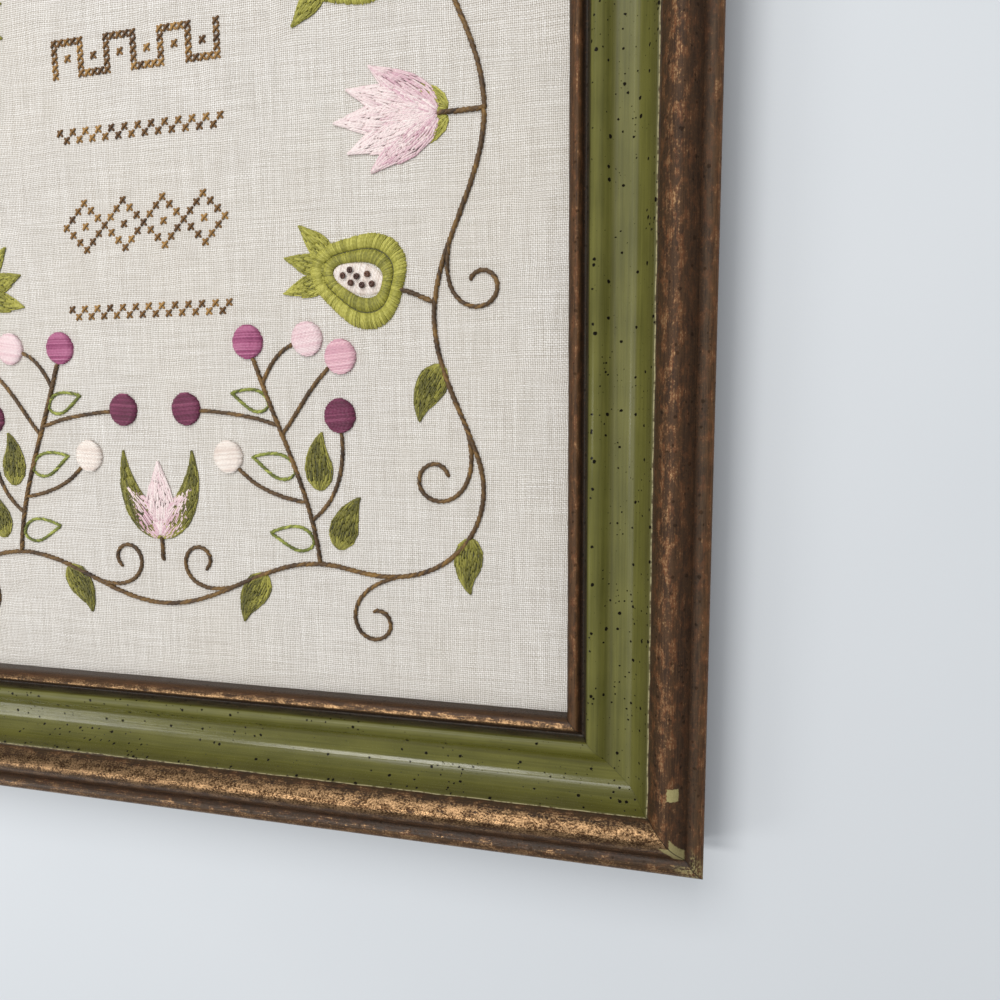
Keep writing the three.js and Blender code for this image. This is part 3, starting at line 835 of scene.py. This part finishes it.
def satin_berry(threads, centre):
    """A round berry of padded satin stitch."""
    lean = jitter(BERRY_LEAN)
    count = int(2 * BERRY_RADIUS / SATIN_PITCH)
    for i in range(count):
        down = -BERRY_RADIUS + (i + 0.5) * 2 * BERRY_RADIUS / count
        reach = math.sqrt(max(BERRY_RADIUS ** 2 - down ** 2, 0.0)) + dice.uniform(-0.16, 0.2)
        bulge = jitter(0.1)
        path = []
        for share in BERRY_SHARES:
            x = share * reach
            dome = math.sqrt(max(1 - (x * x + down * down) / (BERRY_RADIUS + BERRY_RIM) ** 2, 0.0))
            lift = BERRY_BASE + bulge + BERRY_HEIGHT * dome ** 0.8 if abs(share) < 1 else -ROOT_DEPTH
            sag = down * (1 + BERRY_SAG * (1 - share * share))
            path.append((*(centre + spun(x, sag, lean)), LINEN_TOP + lift))
        threads.add(path, *SATIN_THREAD, dice.uniform(0.1, 0.85))


LONG_BASE = 0.2
LONG_ROOT = 0.1
LONG_THICKNESS = 0.45
SHORTEST_LEFT = 0.8
NARROWEST_LANE = 0.3


def long_and_short(threads, leaf, shade, lane=0.5, reach=(3.2, 5.0), height=0.75, thread=0.6):
    """Rows of uneven stitches that run with the leaf; shade(share, side) sets how dark they are."""
    lanes = max(3, int(leaf.width / lane))
    length = leaf.track.length
    for j in range(lanes):
        side = -1 + (2 * j + 1) / lanes
        place = dice.uniform(-0.5, 0.15) * reach[0]
        while place < length - SHORTEST_LEFT:
            span = dice.uniform(*reach)
            first = max(place, 0.0) / length
            last = min(place + span, length) / length
            middle = (first + last) / 2
            crowded = 2 * leaf.half_width(middle) / lanes < NARROWEST_LANE
            if not (crowded and j % 2):
                dome = math.sqrt(max(1 - side * side, 0.0))
                lift = LONG_BASE + height * dome * (0.75 + 0.25 * math.sin(math.pi * middle))
                lift += jitter(0.08)
                path = []
                for share, rise in LONG_PROFILE:
                    x, y = leaf.at(first + (last - first) * share, side + jitter(0.04))
                    path.append((x, y, LINEN_TOP - LONG_ROOT + rise * lift))
                tint = shade(middle, side)
                threads.add(path, thread * dice.uniform(0.85, 1.15), LONG_THICKNESS, min(max(tint, 0.0), 1.0))
            place += span * dice.uniform(0.72, 0.9)


def ring_outline(centre, heading, half_length, half_width, count):
    """Points of a rounded three-lobed outline."""
    points = []
    for i in range(count):
        angle = 2 * math.pi * i / count
        size = 1 + FRUIT_LOBE * math.cos(3 * angle)
        points.append(centre + spun(half_length * size * math.cos(angle), half_width * size * math.sin(angle),
                                    heading))
    return np.array(points)


BAND_THREAD = (0.66, 0.5)


def satin_band(threads, outer, inner, lift, tint_low, tint_high):
    """Stitches across a band between two outlines with as many points."""
    for first, last in zip(outer, inner):
        first = first + (jitter(0.16), jitter(0.16))
        path = []
        for share, rise in BAND_PROFILE:
            x, y = first + (last - first) * share
            path.append((x, y, LINEN_TOP + rise * lift))
        threads.add(path, *BAND_THREAD, dice.uniform(tint_low, tint_high))


KNOT_TURNS = 1.6
KNOT_STEPS = 15
KNOT_FOOT = 0.9
KNOT_RISE = 0.5
KNOT_THREAD = 0.62


def knot(threads, centre, size):
    """A French knot: thread wound round once and a half, with a dimple in its top."""
    start = dice.uniform(0, 2 * math.pi)
    path = []
    for i in range(KNOT_STEPS + 1):
        share = i / KNOT_STEPS
        x, y = ahead(centre, start + share * KNOT_TURNS * 2 * math.pi, size * (0.62 - 0.28 * share))
        path.append((x, y, LINEN_TOP + KNOT_FOOT + KNOT_RISE * share))
    threads.add(path, size * KNOT_THREAD, size * KNOT_THREAD, dice.random())


CROSS_CELL = 2.5
CROSS_REACH = 0.46
CROSS_THREAD = (0.85, 0.5)
UNDER_LIFT = 0.22
OVER_LIFT = 0.52


def cross(threads, x, y):
    """A cross stitch: one leg, and the other over it."""
    half = CROSS_CELL * CROSS_REACH
    first = dice.random()
    second = min(max(first + jitter(0.25), 0.0), 1.0)
    stitch(threads, (x - half, y + half), (x + half, y - half), *CROSS_THREAD, UNDER_LIFT, first)
    stitch(threads, (x - half, y - half), (x + half, y + half), *CROSS_THREAD, OVER_LIFT, second,
           ROUND_PROFILE)


# The pattern of one quarter, the lower right, in the same places as the solid forms.
# Headings and turns are in degrees, apart from those of blooms, sepals and launches, in radians

VINE_WIDTH = 1.9
STEM_WIDTH = 1.7
TENDRIL_LAUNCH = 0.2
TENDRILS = rows("along side length curl", (36, 1, 46, 0.26), (92, -1, 52, 0.24), (146, 1, 50, 0.25),
                (206, -1, 42, 0.28))
LEAF_FULLNESS = 0.52
VINE_LEAF_BENDS = (-0.05, 0.09)
VINE_LEAVES = rows("along turn length", (72, -38, 19), (122, 36, 18), (194, 44, 19))
SPRAY = Named(along=174, heading=94, length=70, bend=0.013, bend_end=-0.006, berry="mauve")
SPRAY_BRANCHES = rows(
    "at heading length bend bend_end berry", (0.22, 30, 32, 0.05, 0.02, "plum"),
    (0.29, 172, 27, -0.01, -0.04, "white"), (0.64, 48, 27, 0.02, -0.03, "pink"),
    (0.65, 158, 29, 0.02, 0.0, "plum"), (0.88, 62, 17, 0.0, -0.09, "pale"))
SPRAY_LEAF_BENDS = (0.05, -0.09)
SPRAY_LEAVES = rows("at away gap heading length", (0, 40, 8, 62, 19), (0.34, 12, 5.6, 84, 19))
OPEN_LEAF_STEM = 1.5
OPEN_LEAF_BEND = 0.02
OPEN_LEAF_INSET = 0.6
OPEN_LEAF_STITCH = {"width": 1.4, "pitch": 1.5, "length": 3.2}
OPEN_LEAVES = rows("at heading length", (0.08, 158, 16), (0.41, 150, 16), (0.75, 152, 14))
FRUIT = Named(along=54, heading=150, stalk=12, bend=0.02, centre=13)
FRUIT_SIZE = (15.5, 14)
FRUIT_WINDOW_SHIFT = 0.5
FRUIT_WINDOW_SIZE = (8.2, 5)
FRUIT_LOBE = 0.1
FRUIT_STITCHES = 180
FRUIT_SEAM = 0.54
# The dark thread under the fruit's seam, partly painted shade between the bands: its size, lift and tint
SEAM_THREAD = (1.5, 0.4)
SEAM_LIFT = 0.15
SEAM_TINT = 0.1
WINDOW_OVERLAP = 0.4
WINDOW_THREAD = (0.62, 0.35)
WINDOW_LIFT = 0.35
SEED_SIZE = 1.25
SEEDS = ((-4.6, 0.6), (-2.4, -1.8), (-1.6, 1.7), (0.8, -0.3), (2.2, 2.0), (3.4, -1.7), (5.2, 0.5))
SEPALS = Named(count=3, start=11.5, spread=0.3, fan=0.5, length=15, width=7)
BLOOM_FAN = 0.62
BLOOM_STITCH = {"lane": 0.6, "reach": (5.5, 9.0), "height": 0.8, "thread": 0.7}
SIDE_BLOOM_STALK = 14
SIDE_PETALS = rows("turn length width", (-1, 26, 11), (1, 26, 11), (-0.5, 30, 12), (0.5, 30, 12), (0, 33, 12))
SIDE_SEPALS = Named(ahead=3, aside=1, turn=0.66, length=20, width=7.5, bend=0.035)
END_BLOOM = Named(base=128, stalk=8)
END_LEAF = Named(turn=0.95, length=34, width=9, bend=0.03)
END_PETALS = rows("turn length width", (-1, 22, 10), (1, 22, 10), (0, 26, 12))

# Cross-stitched bands: the middle's height, the rows of one repeat and how often it comes
ZIGZAG = ["x.", ".x"]
KEY = ["xxxxx...", "x...x...", "x.x.x.x.", "x...x...", "x...xxxx"]
DIAMOND = ["...x..", "..x.x.", ".x...x", "x..x..", ".x...x", "..x.x.", "...x.."]
BANDS = rows("height rows repeats",
             (52, ZIGZAG, 12), (29, KEY, 3), (5, ZIGZAG, 12), (-24, DIAMOND, 4), (-52, ZIGZAG, 12))

# Each set of stitches: its piece, its slot, how much its colour drifts over the cloth, and its
# dark, middle and light tone
THREADS = rows(
    "set piece slot mottle tones",
    ("vine", "vine_stitches", "thread_brown", 0.72, ((46, 29, 12), (88, 62, 27), (144, 108, 46))),
    ("stems", "stem_stitches", "thread_brown", 0.72, ((46, 30, 13), (88, 63, 29), (144, 108, 50))),
    ("plum", "plum_berries", "thread_pink", 0.5, ((86, 28, 54), (116, 44, 78), (150, 78, 108))),
    ("mauve", "mauve_berries", "thread_pink", 0.5, ((134, 52, 96), (170, 88, 128), (198, 126, 160))),
    ("pink", "pink_berries", "thread_pink", 0.5, ((202, 148, 166), (226, 181, 191), (240, 208, 214))),
    ("pale", "pale_berries", "thread_pink", 0.5, ((218, 184, 190), (236, 210, 213), (246, 230, 230))),
    ("white", "white_berries", "thread_pink", 0.5, ((222, 206, 196), (238, 227, 218), (248, 243, 236))),
    ("leaves", "leaf_stitches", "thread_green", 0.5, ((60, 60, 14), (107, 103, 32), (168, 163, 68))),
    ("open_leaves", "open_leaf_stitches", "thread_green", 0.5,
     ((84, 90, 30), (126, 134, 50), (176, 182, 84))),
    ("fruit", "fruit_stitches", "thread_green", 0.5, ((110, 108, 36), (156, 152, 58), (198, 193, 94))),
    ("window", "fruit_windows", "thread_pink", 0.5, ((214, 198, 188), (232, 220, 210), (244, 236, 230))),
    ("knots", "seed_knots", "thread_brown", 0.5, ((54, 28, 20), (84, 50, 36), (116, 78, 56))),
    ("petals", "petal_stitches", "thread_pink", 0.5, ((206, 162, 176), (232, 212, 211), (244, 232, 228))),
    ("bands", "band_stitches", "thread_brown", 0.5, ((84, 54, 18), (128, 90, 36), (176, 134, 70))))


def leaf_shade(share, side):
    """Darker down the middle, with bright threads at the rounded base and along the edges."""
    return 0.38 + 0.22 * abs(side) + 0.3 * (share < 0.2) + jitter(0.3)


def sepal_shade(middle):
    return lambda share, side: middle + jitter(0.35)


def petal_shade(base):
    return lambda share, side: base + 0.25 * share + jitter(0.25)


def olive_leaf(sets, start, heading, length, bends):
    leaf = Leaf(start, heading, length, length * LEAF_FULLNESS, *bends)
    long_and_short(sets["leaves"], leaf, leaf_shade)


def quarter_stitches(sets):
    """The stitches of the lower right quarter, by set."""
    for tendril in TENDRILS:
        root, heading = vine_point(tendril.along)
        heading += tendril.side * TENDRIL_LAUNCH
        line, _ = bent_line(root, heading, tendril.length, 0.0, tendril.side * tendril.curl,
                            TENDRIL_PARTS)
        stem_stitch(sets["stems"], line, STEM_WIDTH)
    for row in VINE_LEAVES:
        root, heading = vine_point(row.along)
        olive_leaf(sets, root, heading + math.radians(row.turn), row.length, VINE_LEAF_BENDS)
    spray_stitches(sets)
    fruit_stitches(sets)


def spray_stitches(sets):
    """The berry spray: branches with berries, then the main stem, then its leaves."""
    root, _ = vine_point(SPRAY.along)
    stem, heading = bent_line(root, math.radians(SPRAY.heading), SPRAY.length, SPRAY.bend,
                              SPRAY.bend_end)

    def on_stem(row):
        return stem[round(row.at * LINE_PARTS)]

    for row in SPRAY_BRANCHES:
        line, end_heading = bent_line(on_stem(row), math.radians(row.heading), row.length, row.bend,
                                      row.bend_end)
        stem_stitch(sets["stems"], line, STEM_WIDTH)
        satin_berry(sets[row.berry], ahead(line[-1], end_heading, BERRY_RADIUS))
    stem_stitch(sets["stems"], stem, VINE_WIDTH)
    satin_berry(sets[SPRAY.berry], ahead(stem[-1], heading, BERRY_RADIUS))
    for row in SPRAY_LEAVES:
        start = ahead(on_stem(row), math.radians(row.away), row.gap)
        olive_leaf(sets, start, math.radians(row.heading), row.length, SPRAY_LEAF_BENDS)
    for row in OPEN_LEAVES:
        heading = math.radians(row.heading)
        start = ahead(on_stem(row), heading, OPEN_LEAF_STEM)
        width = row.length * LEAF_FULLNESS - OPEN_LEAF_INSET
        outline = Leaf(start, heading, row.length, width, OPEN_LEAF_BEND).outline()
        stem_stitch(sets["open_leaves"], outline, **OPEN_LEAF_STITCH)


def fruit_stitches(sets):
    """A fruit: stalk, sepals, two bands of satin with a dark thread under their seam that partly paints the
    shade between them, and the window.
    """
    root, _ = vine_point(FRUIT.along)
    stalk, heading = bent_line(root, math.radians(FRUIT.heading), FRUIT.stalk, FRUIT.bend,
                               FRUIT.bend)
    stem_stitch(sets["stems"], stalk, VINE_WIDTH)
    centre = ahead(stalk[-1], heading, FRUIT.centre)
    for i in range(SEPALS.count):
        place = i - (SEPALS.count - 1) / 2
        start = ahead(centre, heading + SEPALS.spread * place, SEPALS.start)
        leaf = Leaf(start, heading + SEPALS.fan * place, SEPALS.length, SEPALS.width)
        long_and_short(sets["fruit"], leaf, sepal_shade(0.5))
    window_centre = ahead(centre, heading, FRUIT_WINDOW_SHIFT)
    rim = ring_outline(centre, heading, *FRUIT_SIZE, FRUIT_STITCHES)
    window = ring_outline(window_centre, heading, *FRUIT_WINDOW_SIZE, FRUIT_STITCHES)
    seam = rim + (window - rim) * FRUIT_SEAM
    # A thread in the darkest olive under the seam: partly painted shade in the gap between the padded bands
    seam_thread_and_shade = [(x, y, LINEN_TOP + SEAM_LIFT) for x, y in np.vstack([seam, seam[:1]])]
    sets["leaves"].add(seam_thread_and_shade, *SEAM_THREAD, SEAM_TINT)
    satin_band(sets["fruit"], rim, seam, 1.25, 0.35, 1.0)
    satin_band(sets["fruit"], seam, window, 1.0, 0.1, 0.7)
    window_fill(sets, window_centre, heading)


def window_fill(sets, centre, heading):
    """The pale window of a fruit, with seeds in knots."""
    half_length, half_width = (size + WINDOW_OVERLAP for size in FRUIT_WINDOW_SIZE)
    count = int(2 * half_length / SATIN_PITCH)
    forward = way(heading)
    aside = way(heading + math.pi / 2)
    for i in range(count):
        along = -half_length + (i + 0.5) * 2 * half_length / count
        reach = half_width * math.sqrt(max(1 - (along / half_length) ** 2, 0.0))
        middle = centre + forward * along
        stitch(sets["window"], middle - aside * reach, middle + aside * reach, *WINDOW_THREAD,
               WINDOW_LIFT, dice.random())
    for along, out in SEEDS:
        knot(sets["knots"], centre + forward * along + aside * out, SEED_SIZE)


def bloom_petals(sets, base, heading, petals):
    """Petals from the outside in; the outermost are darker."""
    for row in petals:
        leaf = Leaf(base, heading + BLOOM_FAN * row.turn, row.length, row.width)
        shade = petal_shade(0.15 if abs(row.turn) == 1 else 0.5)
        long_and_short(sets["petals"], leaf, shade, **BLOOM_STITCH)


def side_bloom(sets):
    """The bloom at the middle of the right side."""
    root, _ = vine_point(0)
    stalk, _ = bent_line(root, math.pi, SIDE_BLOOM_STALK)
    stem_stitch(sets["stems"], stalk, VINE_WIDTH)
    for side in (-1, 1):
        start = (stalk[-1][0] + SIDE_SEPALS.ahead, side * SIDE_SEPALS.aside)
        leaf = Leaf(start, math.pi - side * SIDE_SEPALS.turn, SIDE_SEPALS.length, SIDE_SEPALS.width,
                    side * SIDE_SEPALS.bend)
        long_and_short(sets["fruit"], leaf, sepal_shade(0.55), height=0.25)
    bloom_petals(sets, stalk[-1], math.pi, SIDE_PETALS)


def end_bloom(sets):
    """The bloom at the middle of the lower end."""
    base = np.array([0.0, -END_BLOOM.base])
    upward = math.pi / 2
    line, _ = bent_line(base - np.array([0, END_BLOOM.stalk]), upward, END_BLOOM.stalk)
    stem_stitch(sets["stems"], line, VINE_WIDTH)
    for side in (-1, 1):
        leaf = Leaf(base, upward - side * END_LEAF.turn, END_LEAF.length, END_LEAF.width,
                    side * END_LEAF.bend)
        long_and_short(sets["leaves"], leaf, leaf_shade)
    bloom_petals(sets, base, upward, END_PETALS)


def band_stitches(threads):
    for band in BANDS:
        lines = [row * band.repeats + row[0] for row in band.rows]
        for i, line in enumerate(lines):
            for j, mark in enumerate(line):
                if mark == "x":
                    cross(threads, (j - (len(line) - 1) / 2) * CROSS_CELL,
                          band.height - (i - (len(lines) - 1) / 2) * CROSS_CELL)


# How each part of the pattern is mirrored over the picture: left to right, and bottom to top
MIRRORED = (
    (quarter_stitches, ((False, False), (False, True), (True, False), (True, True))),
    (side_bloom, ((False, False), (True, False))),
    (end_bloom, ((False, False), (False, True))),
)


def empty_sets():
    return {row.set: Threads() for row in THREADS}


def all_stitches():
    """Every stitch of the picture, by set."""
    sets = empty_sets()
    for make, flips in MIRRORED:
        part = empty_sets()
        make(part)
        for name, threads in part.items():
            for flip_x, flip_y in flips:
                sets[name].join_mirrored(threads, flip_x, flip_y)
    line = [vine_point(VINE_LENGTH * i / VINE_STEPS)[0] for i in range(VINE_STEPS + 1)]
    stem_stitch(sets["vine"], line, VINE_WIDTH)
    band_stitches(sets["bands"])
    return sets


PLY_PITCH = 1.3


def thread_material(name, tones, mottle):
    """Floss: each stitch has its own tint, and fine plies show along it, with painted shade in the grooves
    between them.
    """
    n = Nodes(name)
    dark, middle, light = tones
    along = n.attribute("along")
    around = n.attribute("around")
    drift = n.noise(n.place(), 90.0, 3.0, 0.6)
    fleck = n.noise(n.place(), 1500.0, 3.0, 0.7)
    value = n.attribute("tint") * (1 - mottle) + drift * mottle + (fleck - 0.5) * 0.45
    colour = n.ramp(value, [(0.22, dark), (0.5, middle), (0.8, light)])
    plies = n.math("SINE", around * 3 + along * (2 * math.pi / PLY_PITCH))
    hairs = n.noise(n.join(around * 1.6, along * 0.8), 2.0, 3.0)
    relief = plies * 0.4 + hairs * 0.9
    # Painted shade: the colour darkens in the grooves between the plies
    colour = n.mix(n.step(relief, -0.1, 0.5, 0.28, 0.0), colour, n.mix(0.5, colour, dark))
    n.set(Base_Color=colour, Roughness=0.55, Normal=n.bump(relief, 0.6, 0.00012), Sheen_Weight=0.12,
          Sheen_Roughness=0.4)
    return n.material


def board_material():
    """Grey-brown card with short fibres."""
    n = Nodes("card")
    fibres = n.noise(n.place(), 700.0, 5.0, 0.7)
    clouds = n.noise(n.place(), 25.0, 3.0)
    flecks = n.step(n.noise(n.place(), 420.0, 2.0), 0.66, 0.74)
    card = n.mix(fibres * 0.5 + clouds * 0.5, (142, 122, 94), (186, 166, 134))
    card = n.mix(flecks * 0.5, card, (96, 80, 60))
    n.set(Base_Color=card, Roughness=0.9, Normal=n.bump(fibres, 0.35, 0.0002))
    return n.material


def floor_material():
    """A plain pale floor."""
    n = Nodes("floor_finish")
    clouds = n.noise(n.place(), 6.0, 4.0)
    grain = n.noise(n.place(), 900.0, 3.0)
    colour = n.mix(clouds, (205, 210, 215), (213, 217, 221))
    n.set(Base_Color=colour, Roughness=0.55, Normal=n.bump(grain, 0.08, 0.0002))
    return n.material


# Build the picture

bronze_finish = moulding_material("moulding_bronze", gloss=0.23, specular=0.2, coat=0.0)
paint_finish = moulding_material("moulding_paint", gloss=0.2, specular=0.45, coat=0.1)
for turn, side_name in enumerate(("bottom", "right", "top", "left")):
    rail(side_name, turn, [bronze_finish, paint_finish])
linen_sheet(linen_material())
stitch_sets = all_stitches()
for row in THREADS:
    finish = thread_material(row.piece + "_thread", row.tones, row.mottle)
    stitch_sets[row.set].piece(row.piece, finish, row.slot)

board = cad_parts["mounting_board"]
board.data.materials.clear()
board.data.materials.append(board_material())

# The floor, the light and the camera

FLOOR_HALF = 1500
FLOOR_SIGNS = ((-1, -1), (1, -1), (1, 1), (-1, 1))
floor_corners = [(x * FLOOR_HALF * MM, y * FLOOR_HALF * MM, 0.0) for x, y in FLOOR_SIGNS]
floor_mesh = bpy.data.meshes.new("floor")
floor_mesh.from_pydata(floor_corners, [], [(0, 1, 2, 3)])
floor_mesh.materials.append(floor_material())
floor = show("floor", floor_mesh)


def soft_light(name, place, aim, size, power, colour):
    """A rectangular light at a place, facing a point, both in millimetres."""
    data = bpy.data.lights.new(name, "AREA")
    data.shape = "RECTANGLE"
    data.size, data.size_y = (side * MM for side in size)
    data.energy = power
    data.color = colour
    light = show(name, data)
    light.location = Vector(place) * MM
    light.rotation_euler = (Vector(aim) - Vector(place)).to_track_quat("-Z", "Y").to_euler()


PICTURE_CORNER = (100, -130, 15)
WARM_WHITE = (1.0, 0.99, 0.97)
soft_light("lamp", (-265, -85, 1000), (-265, -85, 0), (430, 110), 3.8, (1.0, 0.985, 0.96))
soft_light("window", (-100, 850, 1000), PICTURE_CORNER, (800, 600), 8.8, WARM_WHITE)
soft_light("fill", (-900, -500, 900), PICTURE_CORNER, (400, 400), 2.6, WARM_WHITE)

world = bpy.data.worlds.new("studio")
world.use_nodes = True
background = world.node_tree.nodes["Background"].inputs
background["Color"].default_value = (0.96, 0.975, 1.0, 1.0)
background["Strength"].default_value = 0.49
bpy.context.scene.world = world
bpy.context.scene.view_settings.view_transform = "Standard"

CAMERA_PLACE = Vector((169.4, -88.0, 220.6))
CAMERA_AIM = Vector((119.6, -112.5, 11.0))
CAMERA_ROLL = math.radians(-0.4)
CAMERA_LENS = 26.2
forward = (CAMERA_AIM - CAMERA_PLACE).normalized()
level = forward.cross(Vector((0, 1, 0))).normalized()
upright = level.cross(forward)
right = level * math.cos(CAMERA_ROLL) + upright * math.sin(CAMERA_ROLL)
turned = Matrix((right, right.cross(forward), -forward)).transposed().to_4x4()
camera_data = bpy.data.cameras.new("camera")
camera_data.sensor_width = 36
camera_data.lens = CAMERA_LENS
camera_data.clip_start = 0.01
camera = show("camera", camera_data)
camera.matrix_world = Matrix.Translation(CAMERA_PLACE * MM) @ turned
bpy.context.scene.camera = camera
